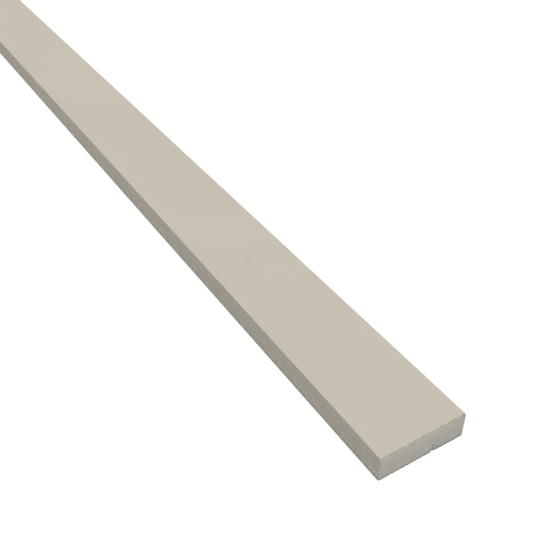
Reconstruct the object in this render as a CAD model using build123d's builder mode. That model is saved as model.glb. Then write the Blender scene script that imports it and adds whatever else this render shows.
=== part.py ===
# Fibre cement batten trim: one length of flat painted stock, square cut at both ends.
# It lies on its back. +X runs along the batten to the chipped end, +Y across it, +Z out of its face.
# The origin is at the middle of the back. All sizes are in millimetres.
import os

from build123d import *

# Stock size: three quarters by two and a half inches, twelve feet long
length = 3657.6
width = 63.5
thickness = 19.05

# Rounding of the long edges: the face's are eased under the paint, the back's are nearly sharp
face_arris_radius = 0.4
back_arris_radius = 0.25

# Three flakes broken out of the back edge at one end, side by side.
# Each is placed across the batten from its middle. On the back it is as broad and as deep as given,
# and it runs out up the cut end at the given height.
tall_flake_across = 8.7
tall_flake_breadth = 2.4
tall_flake_depth = 0.9
tall_flake_height = 5.5
low_flake_across = 9.9
low_flake_breadth = 2.6
low_flake_depth = 0.5
low_flake_height = 2.6
thin_flake_across = 12.7
thin_flake_breadth = 2.2
thin_flake_depth = 0.25
thin_flake_height = 3.8
flakes = [
    (tall_flake_across, tall_flake_breadth, tall_flake_depth, tall_flake_height),
    (low_flake_across, low_flake_breadth, low_flake_depth, low_flake_height),
    (thin_flake_across, thin_flake_breadth, thin_flake_depth, thin_flake_height),
]

with BuildPart() as batten:
    # The section runs the whole length
    with BuildSketch(Plane.YZ.offset(-length / 2)) as section:
        with Locations((0, thickness / 2)):
            Rectangle(width, thickness)
        fillet(section.vertices().group_by(Axis.Y)[-1], radius=face_arris_radius)
        fillet(section.vertices().group_by(Axis.Y)[0], radius=back_arris_radius)
    extrude(amount=length)

    # Each hollow is the side of a tall egg shape whose upright axis stands just off the end
    for across, breadth, depth, height in flakes:
        egg_radius = (depth**2 + (breadth / 2) ** 2) / (2 * depth)
        egg_half_height = height * egg_radius / (breadth / 2)
        foot = (length / 2 + egg_radius - depth, across, 0)
        with BuildSketch(Plane(origin=foot, x_dir=(1, 0, 0), z_dir=(0, -1, 0))):
            with BuildLine():
                egg = EllipticalCenterArc((0, 0), egg_radius, egg_half_height, start_angle=-90, arc_size=180)
                Line(egg @ 1, egg @ 0)
            make_face()
        revolve(axis=Axis(foot, (0, 0, 1)), mode=Mode.SUBTRACT)

batten.part.label = "batten"

os.makedirs("parts", exist_ok=True)
export_step(batten.part, "parts/batten.step")
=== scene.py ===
import itertools
import math
from types import SimpleNamespace

import bmesh
import bpy
import numpy as np
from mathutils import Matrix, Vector


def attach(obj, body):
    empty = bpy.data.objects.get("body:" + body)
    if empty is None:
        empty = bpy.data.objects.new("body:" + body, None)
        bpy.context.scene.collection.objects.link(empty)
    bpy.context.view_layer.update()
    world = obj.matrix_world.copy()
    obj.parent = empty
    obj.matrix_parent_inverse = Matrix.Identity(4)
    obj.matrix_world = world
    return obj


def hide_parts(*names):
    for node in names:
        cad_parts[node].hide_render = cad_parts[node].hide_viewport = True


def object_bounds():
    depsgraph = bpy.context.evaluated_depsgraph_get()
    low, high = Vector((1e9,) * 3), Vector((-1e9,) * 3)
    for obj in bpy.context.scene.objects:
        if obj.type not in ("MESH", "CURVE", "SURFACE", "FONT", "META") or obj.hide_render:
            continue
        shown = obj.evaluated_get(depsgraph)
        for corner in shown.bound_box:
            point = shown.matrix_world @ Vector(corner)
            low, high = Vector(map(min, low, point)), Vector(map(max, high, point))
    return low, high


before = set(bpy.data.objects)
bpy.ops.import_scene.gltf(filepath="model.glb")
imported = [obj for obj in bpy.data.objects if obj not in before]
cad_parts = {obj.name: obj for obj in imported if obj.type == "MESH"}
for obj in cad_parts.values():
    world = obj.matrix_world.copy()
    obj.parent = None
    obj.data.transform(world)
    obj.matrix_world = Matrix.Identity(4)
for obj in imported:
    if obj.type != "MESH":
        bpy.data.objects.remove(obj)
cadLow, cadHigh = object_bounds()
mm = 0.001
print("Frame loaded, box in mm:", [round(v / mm, 2) for v in cadHigh - cadLow])


# The batten, in millimetres
batten = {
    # long edges
    "faceArris": 0.4,  # rounding of the two painted ones
    "backArris": 0.25,  # rounding of the two at the back
    "arrisSway": 0.35,  # share by which that rounding comes and goes
    "swayCell": 17.0,  # and the length over which it does
    "knockCount": 90,  # knocks on each
    "knockHalfWidth": (0.6, 2.5),
    "knockDepth": 0.3,
    "knockZone": 3.0,  # points this near to a long edge can be knocked
    # corners
    "cornerLoss": (0.1, 0.4),  # least and most knocked off
    "cornerKnock": 1.6,  # knocked off the corner of the face, near side and chipped end
    "cornerReach": 2.0,
    # edges of the cut ends: least and most broken away, chips along the edge, half widths of the chips
    "endEdges": {
        "face": ((0.3, 1.5), 50, (0.3, 1.3)),
        "back": ((0.0, 0.2), 20, (0.6, 1.6)),
        "upright": ((0.03, 0.15), 9, (0.6, 1.8)),
    },
    "endZone": 12.0,  # points this near to an end can break away
    "chipSizes": 1.5,  # above 1 makes most chips small
    "edgeJitter": 0.6,  # fine roughness of those edges, as a share of the deepest chip
    "jitterCell": 0.6,
    "cornerShare": 0.25,  # share of that loss at the ends of an edge
    "cornerFade": 2.0,  # and how far in it is whole
    "chipRise": 2.4,  # height of a chip for each millimetre of its depth
    # shape of a break: -1 leaves the edge rounded, 0 bevelled and 1 scooped out
    "arrisHollow": -1.0,
    "chipHollow": 0.0,
    "uprightHollow": -0.6,
    "flakeHollow": 0.3,
    # flakes: across, breadth, depth and height of each
    "flakes": [(8.4, 2.4, 0.8, 6.0), (9.9, 2.6, 0.3, 2.4), (12.3, 2.0, 0.3, 4.5)],
    "flakeCrown": 0.2,  # 0 leaves a flake square at its top, 0.5 round
    "flakeCell": 1.2,  # size of the lumps in its outline
    # surfaces
    "crumbGrit": 0.12,  # roughness where it has broken
    "gritCell": 0.8,
    "gritDepth": (0.02, 0.3),  # depth of break where the grit starts and is full
    "sawRelief": 0.10,  # depth of the saw's marks on the ends
    "sawCentre": (-20.0, -90.0),  # its ridges are arcs round this, across and up
    "sawPitch": 2.4,  # radians of ridge for each millimetre
    "sawWobble": 3.0,  # radians by which the ridges stray
    "wobbleCell": 9.0,
    "ridgeShare": 0.35,  # the rest of the saw relief is grain
    "sawnCell": 1.6,
    "endShift": 9.0,  # keeps the grain of the two ends apart
    "edgeShift": 1000.0,  # keeps the sway of the four long edges apart
    "faceWave": 0.05,  # depth of the dips in the face
    "waveCell": 28.0,
    # wear marks, painted highlight and painted shade: depths where each starts and is full
    "paintFray": 0.4,  # width over which the paint ends at a cut
    "knockBare": (0.1, 0.35),
    "cornerBare": (0.1, 0.3),
    "rubHighlightReach": (0.3, 0.8),  # along the batten and across its end
    "knockRubHighlight": (0.03, 0.2),
    "tornShadeDepth": (0.005, 0.08),
    "backTornShade": 0.2,  # share of the painted shade of torn cement in the lower half
    "flakeShade": 0.8,  # and in a flake hollow, where it is painted shade of the recess
    # spacing of the mesh: how far from the edge each zone reaches, and its step
    "acrossZones": [(2.0, 0.25), (8.0, 0.45)],
    "uprightZones": [(2.2, 0.25), (5.0, 0.5)],
    "nearZones": [(3.0, 0.25), (8.0, 0.5), (150.0, 1.2), (850.0, 2.8), (900.0, 6.0)],
    "farZones": [(3.0, 0.25), (8.0, 0.5), (60.0, 1.5), (400.0, 6.0)],
    "middleStep": 14.0,
    "fineReach": 8.0,  # the section is finely divided this far from each end
    "arrisReach": 2.0,  # and this far from each long edge all the way along
    "plainStep": 12.0,  # spacing across the flats elsewhere
    "flakeLines": (6.0, 14.8, 0.25),  # finer spacing at the flakes: from, to and step
    "slack": 0.01,  # a point this near to a limit is on it
    "touching": 1e-6,  # less than this is no distance at all
    "sharpAngle": 50.0,  # degrees between faces that shade apart
    "seeds": {
        "corners": 41,
        "sway": 41,
        "grit": 54,
        "wobble": 55,
        "sawn": 56,
        "wave": 57,
        "flakes": 58,
        # each edge adds its own number to these
        "ends": 51,
        "uprights": 61,
        "knocks": 71,
        "jitter": 50,  # added to the seed of an end's edge
    },
}


def lumps(points, cell, seed):
    # smooth random lumps from 0 to 1, looked up in a table by a hash of the cell's corner
    tableSize, hashPrimes = 8192, (73856093, 19349663, 83492791)
    table = np.random.default_rng(seed).random(tableSize)
    spots = np.asarray(points, float) / cell
    corner = np.floor(spots).astype(np.int64)
    ease = spots - corner
    ease = ease * ease * (3 - 2 * ease)
    mixers = np.array(hashPrimes)[: spots.shape[1]]
    total = np.zeros(len(spots))
    for step in itertools.product((0, 1), repeat=spots.shape[1]):
        key = np.bitwise_xor.reduce((corner + step) * mixers, axis=1) % tableSize
        total += table[key] * np.where(step, ease, 1 - ease).prod(axis=1)
    return total


def smooth(value, low, high):
    t = np.clip((value - low) / (high - low), 0, 1)
    return t * t * (3 - 2 * t)


def graded(zones):
    # marks from 0 outward, each zone with its own step
    marks = [0.0]
    for reach, step in zones:
        count = max(1, round((reach - marks[-1]) / step))
        marks.extend(np.linspace(marks[-1], reach, count + 1)[1:])
    return np.array(marks)


def betweenEdges(span, zones):
    # marks over a span, close together at both edges
    half = graded(zones + [(span / 2, zones[-1][1])])
    return np.concatenate([half, span - half[-2::-1]])


def thinned(marks, reach, step):
    # which marks stay where the section is coarse
    reach += batten["slack"]
    keep = (marks - marks[0] <= reach) | (marks[-1] - marks <= reach)
    last = marks[0]
    for i, mark in enumerate(marks):
        if keep[i] or mark - last >= step:
            keep[i] = True
            last = mark
    return keep


def marksAlong(length):
    # distances from the chipped end at which the section is repeated
    near, far = graded(batten["nearZones"]), graded(batten["farZones"])
    run = length - near[-1] - far[-1]
    middle = near[-1] + np.linspace(0, run, round(run / batten["middleStep"]) + 1)[1:-1]
    return np.concatenate([near, middle, length - far[::-1]])


def battenSection(width, thick):
    # marks across and up, the ring of them round the section, and what stays of it where it is coarse
    y = betweenEdges(width, batten["acrossZones"]) - width / 2
    low, high, step = batten["flakeLines"]
    y = np.sort(np.concatenate([y[(y < low) | (y > high)], np.arange(low, high, step) + step / 2]))
    z = betweenEdges(thick, batten["uprightZones"])
    top, edge = len(z) - 1, len(y) - 1
    ring = [(i, top) for i in range(edge)] + [(edge, k) for k in range(top, 0, -1)]
    ring += [(i, 0) for i in range(edge, 0, -1)] + [(0, k) for k in range(top)]
    keepY = thinned(y, batten["arrisReach"], batten["plainStep"])
    keepZ = thinned(z, batten["arrisReach"], batten["plainStep"])
    kept = [n for n, (i, k) in enumerate(ring) if (keepY[i] if k in (0, top) else keepZ[k])]
    return y, z, ring, kept


def joinRings(here, there, count):
    # quads between two rings of the same kind
    turn = np.arange(count)
    nextTurn = (turn + 1) % count
    return np.column_stack([here + turn, there + turn, there + nextTurn, here + nextTurn]).tolist()


def fanRings(dense, loose, kept, count):
    # triangles between a fine ring and a coarse one
    faces = []
    for j, first in enumerate(kept):
        last = kept[j + 1] if j + 1 < len(kept) else count
        row = [dense + n % count for n in range(first, last + 1)]
        left, right, half = loose + j, loose + (j + 1) % len(kept), len(row) // 2
        faces += [(row[i], row[i + 1], left if i < half else right) for i in range(len(row) - 1)]
        faces.append((row[half], right, left))
    return faces


def battenSkin(length, width, thick):
    # a box skin: rings of points along the length, and a grid over each end
    y, z, ring, kept = battenSection(width, thick)
    section = np.array([(y[i], z[k]) for i, k in ring])
    stations = marksAlong(length)
    fine = np.minimum(stations, length - stations) <= batten["fineReach"] + batten["slack"]

    points, faces, starts = [], [], []
    for station, isFine in zip(stations, fine):
        shown = section if isFine else section[kept]
        starts.append(sum(map(len, points)))
        points.append(np.column_stack([np.full(len(shown), length / 2 - station), shown]))
    for s in range(len(stations) - 1):
        here, there = starts[s], starts[s + 1]
        if fine[s] == fine[s + 1]:
            faces += joinRings(here, there, len(points[s]))
        else:
            dense, loose = (here, there) if fine[s] else (there, here)
            faces += fanRings(dense, loose, kept, len(ring))

    total = sum(map(len, points))
    for start, x in ((starts[0], length / 2), (starts[-1], -length / 2)):
        ids = np.zeros((len(y), len(z)), int)
        for n, (i, k) in enumerate(ring):
            ids[i, k] = start + n
        inner = np.array(list(itertools.product(y[1:-1], z[1:-1])))
        ids[1:-1, 1:-1] = total + np.arange(len(inner)).reshape(len(y) - 2, len(z) - 2)
        points.append(np.column_stack([np.full(len(inner), x), inner]))
        total += len(inner)
        quads = np.stack([ids[:-1, :-1], ids[1:, :-1], ids[1:, 1:], ids[:-1, 1:]], -1)
        faces += quads.reshape(-1, 4).tolist()
    return np.concatenate(points), faces


def breakEdge(a, b, reachA, reachB, hollow):
    # a and b are the depths below the two faces of a square edge, the reaches how much of each face goes
    # hollow -1 leaves the edge rounded, 0 bevelled and 1 scooped out
    reachA, reachB = np.maximum(reachA, batten["touching"]), np.maximum(reachB, batten["touching"])
    p, q = a / reachA, b / reachB
    inside = (p < 1) & (q < 1)
    level = np.where(inside, np.minimum(p, q), 0)
    share = np.where(q <= p, 1 + (p - level) / (1 - level), 1 - (q - level) / (1 - level)) / 2
    turn = share * math.pi / 2
    curvedA = np.sin(turn) if hollow > 0 else 1 - np.cos(turn)
    curvedB = np.cos(turn) if hollow > 0 else 1 - np.sin(turn)
    newA = level + (1 - level) * (share + abs(hollow) * (curvedA - share))
    newB = level + (1 - level) * (1 - share + abs(hollow) * (curvedB - 1 + share))
    return np.where(inside, reachA * newA, a), np.where(inside, reachB * newB, b)


def chipLine(along, reach, count, halfWidths, seed):
    # how far into a chip each place along an edge lies, from 0 to 1
    draw = np.random.default_rng(seed)
    places = draw.uniform(-reach, reach, count)
    halves = draw.uniform(*halfWidths, count)
    sizes = draw.random(count) ** batten["chipSizes"]
    bite = np.zeros(len(along))
    for place, half, size in zip(places, halves, sizes):
        bite = np.maximum(bite, size * np.sqrt(np.clip(1 - ((along - place) / half) ** 2, 0, None)))
    return bite


def endLoss(name, along, reach, seed):
    # how much of an end's edge is broken away at each place along it
    (least, most), count, halfWidths = batten["endEdges"][name]
    jitter = lumps(along[:, None], batten["jitterCell"], seed + batten["seeds"]["jitter"])
    chips = chipLine(along, reach, count, halfWidths, seed)
    return least + (most - least) * np.maximum(chips, batten["edgeJitter"] * jitter)


def layOut(skin, length, width, thick):
    # gap, a and b are each point's depths below its end, its side, and the face or back
    x, y, z = skin.T
    upper = z > thick / 2
    gap, a, b = length / 2 - np.abs(x), width / 2 - np.abs(y), np.where(upper, thick - z, z)
    touching = batten["touching"]
    worn = SimpleNamespace(skin=skin, x=x, y=y, z=z, length=length, width=width, thick=thick)
    worn.end, worn.side, worn.upper = np.sign(x), np.sign(y), upper
    worn.gap, worn.a, worn.b, worn.firstGap = gap, a, b, gap
    worn.onEnd, worn.onBack, worn.onFace = gap < touching, z < touching, z > thick - touching
    worn.lost, worn.hollow, worn.knocked = np.zeros((3, len(skin)))
    return worn


def knockCorners(worn):
    least, most = batten["cornerLoss"]
    loss = least + (most - least) * np.random.default_rng(batten["seeds"]["corners"]).random(8)
    chippedEnd, farSide, face = 4, 2, 1  # a corner's number is the sum of what it touches
    loss[chippedEnd + face] = batten["cornerKnock"]
    corner = (chippedEnd * (worn.end > 0) + farSide * (worn.side > 0) + face * worn.upper).astype(int)
    far = np.sqrt(worn.gap**2 + worn.a**2 + worn.b**2) / batten["cornerReach"]
    worn.push = loss[corner] * np.clip(1 - far, 0, None) ** 2 / math.sqrt(3)  # the same in three directions
    worn.gap, worn.a, worn.b = worn.gap + worn.push, worn.a + worn.push, worn.b + worn.push


def breakFlakes(worn, own):
    # out of the back edge at the chipped end
    gap, b = worn.gap[own], worn.b[own]
    grit = 2 * lumps(worn.skin[own], batten["flakeCell"], batten["seeds"]["flakes"]) - 1
    rough = 1 + batten["crumbGrit"] * grit
    for across, breadth, depth, height in batten["flakes"]:
        full = np.clip(1 - ((worn.y[own] - across) / (breadth / 2)) ** 2, 0, None)
        deep, tall = depth * full * rough, height * full ** batten["flakeCrown"] * rough
        inFlake = (worn.z[own] < tall) & (worn.firstGap[own] < deep)
        worn.hollow[own] = np.maximum(worn.hollow[own], inFlake)
        gap, b = breakEdge(gap, b, deep, tall, batten["flakeHollow"])
    worn.gap[own], worn.b[own] = gap, b


def breakEnds(worn):
    # the face's and the back's edges at both ends
    cornerShare, fade = batten["cornerShare"], batten["cornerFade"]
    for end, upper in itertools.product((-1, 1), (False, True)):
        own = (worn.end == end) & (worn.upper == upper) & (worn.firstGap < batten["endZone"])
        seed = batten["seeds"]["ends"] + 3 * end + upper
        deep = endLoss("face" if upper else "back", worn.y[own], worn.width / 2, seed)
        deep = deep * (cornerShare + (1 - cornerShare) * smooth(worn.a[own], 0, fade))
        worn.lost[own] = np.where(worn.onFace[own], deep, 0)
        tall = batten["chipRise"] * deep
        worn.gap[own], worn.b[own] = breakEdge(worn.gap[own], worn.b[own], deep, tall, batten["chipHollow"])
        if end > 0 and not upper:
            breakFlakes(worn, own)


def breakUprights(worn):
    # the four upright edges
    half, hollow = worn.thick / 2, batten["uprightHollow"]
    for end, side in itertools.product((-1, 1), (-1, 1)):
        own = (worn.end == end) & (worn.side == side) & (worn.firstGap < batten["endZone"])
        seed = batten["seeds"]["uprights"] + 3 * end + side
        deep = endLoss("upright", worn.z[own] - half, half, seed)
        onSide = worn.a[own] < batten["slack"]
        worn.lost[own] = np.maximum(worn.lost[own], np.where(onSide, deep, 0))
        worn.gap[own], worn.a[own] = breakEdge(worn.gap[own], worn.a[own], deep, deep, hollow)


def easeLongEdges(worn):
    seeds, zone = batten["seeds"], batten["knockZone"]
    edgeId = 2 * worn.upper.astype(int) + (worn.y > 0)
    alongEdges = np.column_stack([worn.x, batten["edgeShift"] * edgeId])
    sway = 2 * lumps(alongEdges, batten["swayCell"], seeds["sway"]) - 1
    count, halfWidths = batten["knockCount"], batten["knockHalfWidth"]
    for edge in range(4):
        own = (edgeId == edge) & (worn.a < zone) & (worn.b < zone)
        knocks = chipLine(worn.x[own], worn.length / 2, count, halfWidths, seeds["knocks"] + edge)
        worn.knocked[own] = batten["knockDepth"] * knocks**2
    radius = np.where(worn.upper, batten["faceArris"], batten["backArris"])
    radius = radius * (1 + batten["arrisSway"] * sway) + worn.knocked
    worn.onArris = (worn.a < radius) & (worn.b < radius)
    worn.a, worn.b = breakEdge(worn.a, worn.b, radius, radius, batten["arrisHollow"])


def roughen(worn):
    # broken places are gritty, the saw leaves the ends faintly ridged, and the face is not dead flat
    seeds = batten["seeds"]
    worn.broken = worn.gap - worn.firstGap
    grit = batten["crumbGrit"] * smooth(worn.broken, *batten["gritDepth"])
    grit = grit * lumps(worn.skin, batten["gritCell"], seeds["grit"])
    worn.gap, worn.b = worn.gap + grit, worn.b + grit * (worn.b > batten["slack"])

    centreY, centreZ = batten["sawCentre"]
    arc = np.hypot(worn.y - centreY, worn.z - centreZ)
    wobble = batten["sawWobble"] * lumps(worn.skin[:, 1:], batten["wobbleCell"], seeds["wobble"])
    ridges = 0.5 + 0.5 * np.sin(arc * batten["sawPitch"] + wobble)
    overEnds = np.column_stack([worn.y, worn.z, batten["endShift"] * worn.end])
    grain = lumps(overEnds, batten["sawnCell"], seeds["sawn"])
    relief = batten["ridgeShare"] * ridges + (1 - batten["ridgeShare"]) * grain
    worn.gap = worn.gap + np.where(worn.onEnd, batten["sawRelief"] * relief, 0)

    flat = worn.onFace & ~worn.onEnd & ~worn.onArris
    wave = batten["faceWave"] * lumps(worn.skin, batten["waveCell"], seeds["wave"])
    worn.b = worn.b + np.where(flat, wave, 0)


def wearHighlightAndShadeMarks(worn):
    # where the paint is gone: 0 painted, 1 bare
    atCut = np.clip(0.5 + (worn.lost - worn.firstGap) / batten["paintFray"], 0, 1)
    bare = np.where(worn.lost > 0, atCut, 0)
    bare = np.maximum(bare, smooth(worn.knocked, *batten["knockBare"]) * worn.onArris)
    bare = np.maximum(bare, smooth(worn.push, *batten["cornerBare"]))
    bare = np.maximum(np.where(worn.onEnd | worn.onBack, 1, bare), worn.hollow)
    # where an edge has been rubbed pale, partly wear and partly a painted highlight on the arris, the face's
    # long edges at least by half
    rubAlong, rubAcross = batten["rubHighlightReach"]
    rubAndHighlight = np.exp(-((worn.firstGap / rubAlong + worn.a / rubAcross) ** 2))
    knockRubHighlight = 0.5 + 0.5 * smooth(worn.knocked, *batten["knockRubHighlight"])
    rubAndHighlight = np.maximum(rubAndHighlight, knockRubHighlight * worn.onArris * worn.upper)
    # where the cement is torn instead of sawn, darkened as painted shade of its rough surface, and more in
    # the flake hollows as painted shade of the recess
    tornShade = smooth(worn.broken, *batten["tornShadeDepth"]) * worn.onEnd + bare * ~worn.onEnd * ~worn.onBack
    tornShade = np.maximum(tornShade * np.where(worn.upper, 1, batten["backTornShade"]), batten["flakeShade"] * worn.hollow)
    return {"bare": bare, "rubAndHighlight": rubAndHighlight, "tornShade": np.clip(tornShade, 0, 1)}


def wornBatten(skin, length, width, thick):
    # wears the box skin down to the batten: everything moves inward
    worn = layOut(skin, length, width, thick)
    knockCorners(worn)
    breakEnds(worn)
    breakUprights(worn)
    easeLongEdges(worn)
    roughen(worn)
    x, y = worn.end * (length / 2 - worn.gap), worn.side * (width / 2 - worn.a)
    z = np.where(worn.upper, thick - worn.b, worn.b)
    return np.column_stack([x, y, z]), wearHighlightAndShadeMarks(worn)


def makeBatten():
    size = (cadHigh - cadLow) / mm
    skin, faces = battenSkin(*size)
    points, marks = wornBatten(skin, *size)
    middle = np.array([cadLow.x + cadHigh.x, cadLow.y + cadHigh.y, 2 * cadLow.z]) / 2
    mesh = bpy.data.meshes.new("batten_worn")
    mesh.from_pydata((points * mm + middle).tolist(), [], faces)
    for name, values in marks.items():
        mesh.attributes.new(name, "FLOAT", "POINT").data.foreach_set("value", values.astype(np.float32))
    work = bmesh.new()
    work.from_mesh(mesh)
    bmesh.ops.recalc_face_normals(work, faces=work.faces)
    work.to_mesh(mesh)
    work.free()
    mesh.shade_smooth()
    mesh.set_sharp_from_angle(angle=math.radians(batten["sharpAngle"]))
    piece = bpy.data.objects.new("batten_worn", mesh)
    bpy.context.scene.collection.objects.link(piece)
    triangles = sum(len(p.vertices) - 2 for p in mesh.polygons)
    print("Batten mesh:", len(points), "points,", triangles, "triangles")
    return piece


class Feed:  # a node socket that takes part in Python sums
    def __init__(self, tree, socket=None):
        self.tree = tree
        self.socket = socket

    def node(self, kind, settings=None, sockets=None, out=0):
        made = self.tree.nodes.new("ShaderNode" + kind)
        for name, value in (settings or {}).items():
            setattr(made, name, value)
        for name, value in (sockets or {}).items():
            if isinstance(value, Feed):
                self.tree.links.new(value.socket, made.inputs[name])
            else:
                made.inputs[name].default_value = value
        return Feed(self.tree, made.outputs[out] if made.outputs else None)

    def math(self, operation, first, second):
        return self.node("Math", {"operation": operation}, {0: first, 1: second})

    def __add__(self, other):
        return self.math("ADD", self, other)

    def __radd__(self, other):
        return self.math("ADD", other, self)

    def __sub__(self, other):
        return self.math("SUBTRACT", self, other)

    def __rsub__(self, other):
        return self.math("SUBTRACT", other, self)

    def __mul__(self, other):
        return self.math("MULTIPLY", self, other)

    def __rmul__(self, other):
        return self.math("MULTIPLY", other, self)

    def __abs__(self):
        return self.node("Math", {"operation": "ABSOLUTE"}, {0: self})

    def most(self, other):
        return self.math("MAXIMUM", self, other)

    def rise(self, low, high):  # 0 below low, 1 above high
        limits = {"Value": self, "From Min": low, "From Max": high}
        return self.node("MapRange", {"interpolation_type": "SMOOTHSTEP"}, limits)

    def pick(self, first, second):  # first where this mask is 0, second where it is 1
        return self.node("Mix", {"data_type": "RGBA"}, {0: self, 6: first, 7: second}, out=2)

    def stretched(self, scale):
        return self.node("VectorMath", {"operation": "MULTIPLY"}, {0: self, 1: scale})

    def away(self, spot):  # distance of this position from a spot
        return self.node("VectorMath", {"operation": "DISTANCE"}, {0: self, 1: spot}, out="Value")

    def noise(self, cell, detail=2.0, rough=0.5):
        look = {"Vector": self, "Scale": 1 / (cell * mm), "Detail": detail, "Roughness": rough}
        return self.node("TexNoise", None, look)

    def layer(self, look):  # a noise and the range over which it comes in
        return self.noise(*look["noise"]).rise(*look["range"])

    def dots(self, cell):  # distance to the nearest of scattered points, in cells
        return self.node("TexVoronoi", None, {"Vector": self, "Scale": 1 / (cell * mm)}, out="Distance")


def shade(colour, factor):
    return tuple(c * factor for c in colour) + (1.0,)


# Bare fibre cement on the cut ends, the back and the broken places
# noise: size in mm, detail and roughness; range: where it starts and is full; share: how strongly it shows
# tint: brightness against the colour; height: where it starts and is full, as shares of the thickness
cement = {
    "colour": (0.469, 0.455, 0.404),
    "roughness": 0.9,
    "patch": {"noise": (6.0, 4, 0.6), "range": (0.3, 0.7), "tints": (0.93, 1.06), "relief": 0.4},
    "grain": {"noise": (0.9, 3, 0.7), "range": (0.3, 0.7), "share": 0.35, "tint": 0.75, "relief": 0.6},
    # pressed layers, drawn out across the batten
    "sheets": {"noise": (1.1, 2), "range": (0.35, 0.65), "share": 0.18, "tint": 1.2, "relief": 0.3},
    "sheetStretch": (1, 0.12, 1),
    "warm": {"colour": (0.59, 0.556, 0.476), "height": (0.25, 1.0), "share": 0.5},  # towards the face
    # pits, darkened as painted shade inside them and sunk by the bump
    "shadedPits": {"noise": (7,), "range": (0.5, 0.6), "share": 0.5, "tint": 0.45, "relief": 1.2},
    "pitCell": 2.6,
    "pitSize": (0.08, 0.2),  # in cells
}


def bareCement(at, height):
    colour, patch, grain, sheets = (cement[name] for name in ("colour", "patch", "grain", "sheets"))
    warm, shadedPits = cement["warm"], cement["shadedPits"]
    patches, grains = at.layer(patch), at.layer(grain)
    drawnOut = at.stretched(cement["sheetStretch"]).layer(sheets)
    base = patches.pick(*(shade(colour, tint) for tint in patch["tints"]))
    base = (grain["share"] * grains).pick(base, shade(colour, grain["tint"]))
    base = (sheets["share"] * drawnOut).pick(base, shade(colour, sheets["tint"]))
    base = (warm["share"] * height.rise(*warm["height"])).pick(base, shade(warm["colour"], 1))
    # painted shade: the pits are darkened as if shaded inside
    holes = (1 - at.dots(cement["pitCell"]).rise(*cement["pitSize"])) * at.layer(shadedPits)
    base = (shadedPits["share"] * holes).pick(base, shade(colour, shadedPits["tint"]))
    relief = grain["relief"] * grains + sheets["relief"] * drawnOut
    relief = relief + patch["relief"] * patches - shadedPits["relief"] * holes
    return base, relief


# Paint on the face and sides, with the same kinds of values
paint = {
    "colour": (0.492, 0.453, 0.382),
    "roughness": 0.85,
    "flankPaintedLight": 1.06,  # painted light: the sides get a lighter copy of the face's paint
    "cloud": {"noise": (70, 3), "range": (0.3, 0.7), "tints": (0.985, 1.015)},
    # drawn out along the sides
    "streak": {"noise": (2.2, 3), "range": (0.3, 0.72), "share": 0.4, "tint": 0.85, "relief": 0.5},
    "streakStretch": (0.06, 1, 1),
    "blotch": {"noise": (5.5, 3, 0.6), "range": (0.35, 0.65), "share": 0.4, "tint": 0.92},
    # sand in the paint of the sides, with more of it low down
    "sand": {"noise": (1.2, 4, 0.75), "share": 0.4, "relief": 1.5},
    "lowSand": {"share": 0.5, "height": (0.08, 0.45)},
    "darkSand": {"range": (0.45, 0.7), "tint": 0.6},
    "paleSand": {"range": (0.3, 0.55), "tint": 1.45},
    "specks": {"noise": (60,), "range": (0.45, 0.6), "share": 0.25, "tint": 0.55},
    "speckCell": 23,
    "speckSize": (0.012, 0.03),  # in cells
    "stipple": {"noise": (1.3, 3, 0.6), "relief": 0.5},  # fine roller texture
    # faint dirt on the face: mm back from the chipped end, mm across, radius, strength
    "smudges": [
        (195.8, -2.1, 4.0, 0.05),
        (77.4, -11.2, 2.0, 0.035),
        (58.9, 12.8, 2.4, 0.03),
        (35.3, 13.2, 2.0, 0.025),
        (10.4, -25.3, 2.0, 0.02),
    ],
    "smudgeCore": 0.2,  # share of the radius at full strength
    "smudgeTint": 0.2,
}


def paintCoat(at, height, flank):
    colour, cloud, streak, blotch = (paint[name] for name in ("colour", "cloud", "streak", "blotch"))
    streaks = at.stretched(paint["streakStretch"]).layer(streak)
    base = at.layer(cloud).pick(*(shade(colour, tint) for tint in cloud["tints"]))
    # painted light: the sides take a lighter copy of the paint
    base = flank.pick(base, shade(colour, paint["flankPaintedLight"]))
    base = (streak["share"] * flank * streaks).pick(base, shade(colour, streak["tint"]))
    base = (blotch["share"] * flank * at.layer(blotch)).pick(base, shade(colour, blotch["tint"]))

    sand, lowSand, dark, pale = (paint[name] for name in ("sand", "lowSand", "darkSand", "paleSand"))
    low = flank * (1 - height.rise(*lowSand["height"]))
    sandy = sand["share"] * flank + lowSand["share"] * low
    grains = at.noise(*sand["noise"])
    base = (sandy * grains.rise(*dark["range"])).pick(base, shade(colour, dark["tint"]))
    base = (sandy * (1 - grains.rise(*pale["range"]))).pick(base, shade(cement["colour"], pale["tint"]))

    specks = paint["specks"]
    spots = (1 - at.dots(paint["speckCell"]).rise(*paint["speckSize"])) * at.layer(specks)
    base = (specks["share"] * spots).pick(base, shade(colour, specks["tint"]))
    for back, across, radius, strength in paint["smudges"]:
        spot = (cadHigh.x - back * mm, across * mm, cadHigh.z)
        smudge = 1 - at.away(spot).rise(paint["smudgeCore"] * radius * mm, radius * mm)
        base = (strength * smudge).pick(base, shade(colour, paint["smudgeTint"]))

    stipple = paint["stipple"]
    relief = stipple["relief"] * at.noise(*stipple["noise"]) + streak["relief"] * flank * streaks
    relief = relief + sand["relief"] * sandy * grains
    return base, relief


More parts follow.
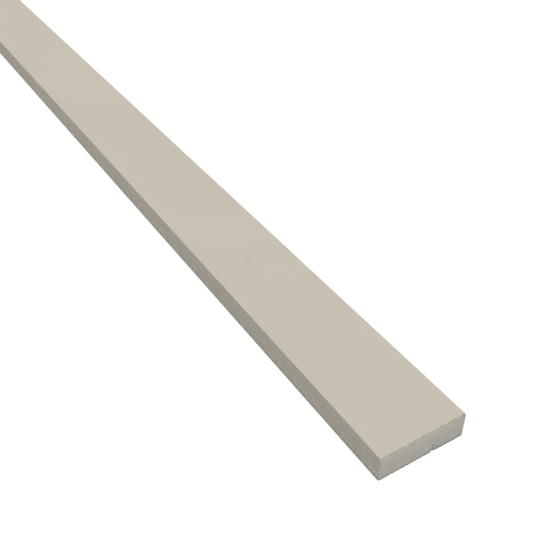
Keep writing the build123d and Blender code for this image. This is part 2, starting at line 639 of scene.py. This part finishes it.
# How paint, cement, wear, painted highlight and painted shade come together, with the same kinds of values
finish = {
    "flankEdge": (0.6, 0.2),  # mm in from the side where its look starts and is full
    "ragged": (0.8, 3, 0.65),  # noise that frays the paint's edge
    "fray": 0.5,
    "thinFoot": 0.5,  # how thin the paint is at the foot of the sides
    "thinHeight": (0.0, 0.35),
    "paintEdge": (0.42, 0.58),  # below the first it is painted, above the second bare
    # pale rubbed edges: partly wear, partly a painted highlight
    "rubHighlightLook": {"noise": (2.4, 3), "range": (0.35, 0.6), "share": 0.6, "tint": 1.12},
    "tornShade": {"share": 0.3, "tint": 0.5},
    # painted contact shade along the foot, which stops short of the back: heights where it comes in and fades
    # out
    "foot": {"noise": (1.5,), "range": (0.15, 0.55), "share": 0.8, "tint": 0.4},
    "footStart": (0.0, 0.006),
    "footEnd": (0.02, 0.13),
    "cementRelief": 1.6,
    "cementSink": 0.6,  # how much deeper the bump sets cement than paint
    "paintRelief": 0.3,
    "bumpStrength": 0.6,
    "bumpDepth": 0.25,  # mm
    "specular": 0.12,
}


def battenFinish():
    material = bpy.data.materials.new("painted_fibre_cement")
    material.use_nodes = True
    tree = material.node_tree
    tree.nodes.clear()
    start = Feed(tree)
    at = start.node("TexCoord", out="Object")
    across, up = (start.node("SeparateXYZ", None, {0: at}, out=axis) for axis in ("Y", "Z"))
    height = up * (1 / cadHigh.z)
    flank = abs(across).rise(*(cadHigh.y - inset * mm for inset in finish["flankEdge"]))
    marks = ("bare", "rubAndHighlight", "tornShade")
    bare, rubAndHighlight, tornShade = (start.node("Attribute", {"attribute_name": name}, out="Fac") for name in marks)

    ragged = at.noise(*finish["ragged"])
    thin = flank * (1 - height.rise(*finish["thinHeight"])) * finish["thinFoot"]
    frayed = bare + finish["fray"] * (ragged - 0.5) + thin * ragged
    mask = frayed.rise(*finish["paintEdge"])
    coat, coatRelief = paintCoat(at, height, flank)
    raw, rawRelief = bareCement(at, height)
    colour = mask.pick(coat, raw)
    rubHighlightLook, tornShadeLook, foot = finish["rubHighlightLook"], finish["tornShade"], finish["foot"]
    # pale rubbed edges: partly wear, partly a painted highlight along the arrises
    worn = rubAndHighlight * at.layer(rubHighlightLook)
    colour = (rubHighlightLook["share"] * worn).pick(colour, shade(cement["colour"], rubHighlightLook["tint"]))
    # painted shade: torn cement and the flake hollows are darkened
    colour = (tornShadeLook["share"] * tornShade).pick(colour, shade(cement["colour"], tornShadeLook["tint"]))
    # painted contact shade: a dark band along the foot of the sides and ends
    lowBand = height.rise(*finish["footStart"]) * (1 - height.rise(*finish["footEnd"]))
    footShadeMask = lowBand * at.layer(foot)
    colour = (foot["share"] * footShadeMask).pick(colour, shade(cement["colour"], foot["tint"]))

    sunk = rawRelief * finish["cementRelief"] - finish["cementSink"]
    relief = mask * sunk + (1 - mask) * coatRelief * finish["paintRelief"]
    depth = {"Strength": finish["bumpStrength"], "Distance": finish["bumpDepth"] * mm, "Height": relief}
    look = {
        "Base Color": colour,
        "Roughness": mask * (cement["roughness"] - paint["roughness"]) + paint["roughness"],
        "Normal": start.node("Bump", None, depth, out="Normal"),
        "Specular IOR Level": finish["specular"],
    }
    start.node("OutputMaterial", None, {"Surface": start.node("BsdfPrincipled", None, look)})
    return material


# Floor, light and camera
studio = {
    "floor": (0.25, 0.25, 0.25),
    "floorGlow": 0.78,  # a lit white table: shadows on it stay faint
    "floorReach": 80.0,  # metres
    "floorDrop": 0.05,  # mm below the batten
    "sunStrength": 3.6,
    "sunSpread": 32.0,  # degrees
    "sunLean": (0.22, -0.02),  # how far the light stands towards +X and +Y for each unit up
    "ambient": 0.04,
    "backdrop": 1.0,
    "white": (1, 1, 1, 1),
}
camera = {
    "lens": 52.35,  # mm
    "sensor": 36,  # mm
    "azimuth": 58.17,  # degrees round from the near side towards the chipped end
    "elevation": 37.868,  # degrees
    "fromEnd": (204.3, -230.9, 368.8),  # mm from the middle of the chipped end's back edge
}


def makeFloor():
    reach, level = studio["floorReach"], cadLow.z - studio["floorDrop"] * mm
    floorMesh = bpy.data.meshes.new("floor")
    corners = [(-reach, -reach, level), (reach, -reach, level), (reach, reach, level), (-reach, reach, level)]
    floorMesh.from_pydata(corners, [], [(0, 1, 2, 3)])
    floor = bpy.data.objects.new("floor", floorMesh)
    bpy.context.scene.collection.objects.link(floor)
    matte = bpy.data.materials.new("studio_floor")
    matte.use_nodes = True
    matte.node_tree.nodes.clear()
    start = Feed(matte.node_tree)
    white = start.node("BsdfDiffuse", None, {"Color": shade(studio["floor"], 1)})
    glow = start.node("Emission", None, {"Strength": studio["floorGlow"]})
    lit = start.node("AddShader", None, {0: white, 1: glow})
    below = start.node("NewGeometry", out="Backfacing")  # see through it from underneath
    sheet = start.node("MixShader", None, {0: below, 1: lit, 2: start.node("BsdfTransparent")})
    start.node("OutputMaterial", None, {"Surface": sheet})
    floorMesh.materials.append(matte)
    print("Floor laid")


def makeLight():
    lamp = bpy.data.lights.new("overhead", "SUN")
    lamp.energy = studio["sunStrength"]
    lamp.angle = math.radians(studio["sunSpread"])
    overhead = bpy.data.objects.new("overhead", lamp)
    overhead.rotation_mode = "QUATERNION"
    overhead.rotation_quaternion = Vector((*studio["sunLean"], 1)).to_track_quat("Z", "Y")
    bpy.context.scene.collection.objects.link(overhead)

    # the backdrop is pale where it is seen or mirrored, and lights the batten only a little
    world = bpy.data.worlds.new("studio")
    world.use_nodes = True
    world.node_tree.nodes.clear()
    start = Feed(world.node_tree)
    dim = start.node("Background", None, {"Color": studio["white"], "Strength": studio["ambient"]})
    pale = start.node("Background", None, {"Color": studio["white"], "Strength": studio["backdrop"]})
    seen = start.node("LightPath", out="Is Camera Ray")
    mirrored = start.node("LightPath", out="Is Glossy Ray")
    both = start.node("MixShader", None, {0: seen.most(mirrored), 1: dim, 2: pale})
    start.node("OutputWorld", None, {"Surface": both})
    bpy.context.scene.world = world
    bpy.context.scene.view_settings.view_transform = "Standard"
    print("Overhead light and pale backdrop set")


def makeCamera():
    lens = bpy.data.cameras.new("camera")
    lens.lens = camera["lens"]
    lens.sensor_width = camera["sensor"]
    eye = bpy.data.objects.new("camera", lens)
    turn, tilt = math.radians(camera["azimuth"]), math.radians(camera["elevation"])
    back = Vector((math.sin(turn) * math.cos(tilt), -math.cos(turn) * math.cos(tilt), math.sin(tilt)))
    eye.location = Vector((cadHigh.x, 0, cadLow.z)) + Vector(camera["fromEnd"]) * mm
    eye.rotation_mode = "QUATERNION"
    eye.rotation_quaternion = back.to_track_quat("Z", "Y")
    bpy.context.scene.collection.objects.link(eye)
    bpy.context.scene.camera = eye
    print("Camera placed")


battenPiece = makeBatten()
battenPiece.data.materials.append(battenFinish())
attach(battenPiece, "root")
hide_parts("batten")
print("Batten finished and riding on the frame")
makeFloor()
makeLight()
makeCamera()
